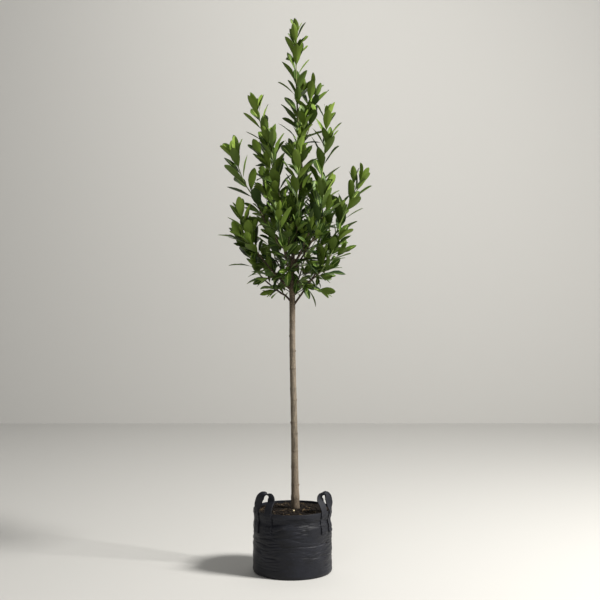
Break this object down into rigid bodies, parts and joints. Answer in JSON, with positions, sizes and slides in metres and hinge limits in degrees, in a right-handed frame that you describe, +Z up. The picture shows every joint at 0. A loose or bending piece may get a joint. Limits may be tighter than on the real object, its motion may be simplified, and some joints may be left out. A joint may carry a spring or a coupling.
{
  "type": "standard laurel tree in a fabric grow bag",
  "caption": "Young evergreen laurel grown as a standard: one clear stem, an open upright head of large glossy leaves, in a black fabric grow bag with two strap handles.",
  "frame": {"origin": "middle of the grow bag's flat underside, on the ground", "axes": "+Z up along the stem, -Y the front, +X to the right seen from the front"},
  "size_m": [0.698, 0.5723, 2.656],
  "materials": {
    "bark": "smooth young bark, matt, with node scars",
    "foliage": "leathery evergreen leaves, glossy above and matt below",
    "cut_wood": "pale cut wood",
    "compost": "dark moist compost with bark chips",
    "webbing": "black woven webbing with a dull sheen",
    "bag_felt": "black non-woven fabric, matt, softly wrinkled"
  },
  "bodies": {
    "root": {"stem": "bark", "bough_left_tall": "bark", "bough_left_wide": "bark", "bough_left_middle": "bark", "bough_left_low": "bark", "bough_right_tall": "bark", "bough_right_wide": "bark", "bough_leader_side": "bark", "bough_front_left": "bark", "bough_front_middle": "bark", "bough_front_right": "bark", "bough_front_low": "bark", "bough_right_low": "bark", "bough_back_left": "bark", "bough_back_middle": "bark", "bough_back_right": "bark", "bough_back_low_left": "bark", "bough_back_low_right": "bark", "leaves_leader_top": "foliage", "leaves_leader_middle": "foliage", "leaves_heart": "foliage", "leaves_left_tall": "foliage", "leaves_left_wide": "foliage", "leaves_left_middle": "foliage", "leaves_left_low": "foliage", "leaves_right_tall": "foliage", "leaves_right_wide": "foliage", "leaves_leader_side": "foliage", "leaves_front_left": "foliage", "leaves_front_middle": "foliage", "leaves_front_right": "foliage", "leaves_front_low": "foliage", "leaves_right_low": "foliage", "leaves_back_left": "foliage", "leaves_back_middle": "foliage", "leaves_back_right": "foliage", "leaves_back_low_left": "foliage", "leaves_back_low_right": "foliage", "cut_stub": "cut_wood", "bag_side": "bag_felt", "bag_base": "bag_felt", "compost": "compost", "handle_left": "webbing", "handle_right": "webbing"}
  },
  "joints": []
}
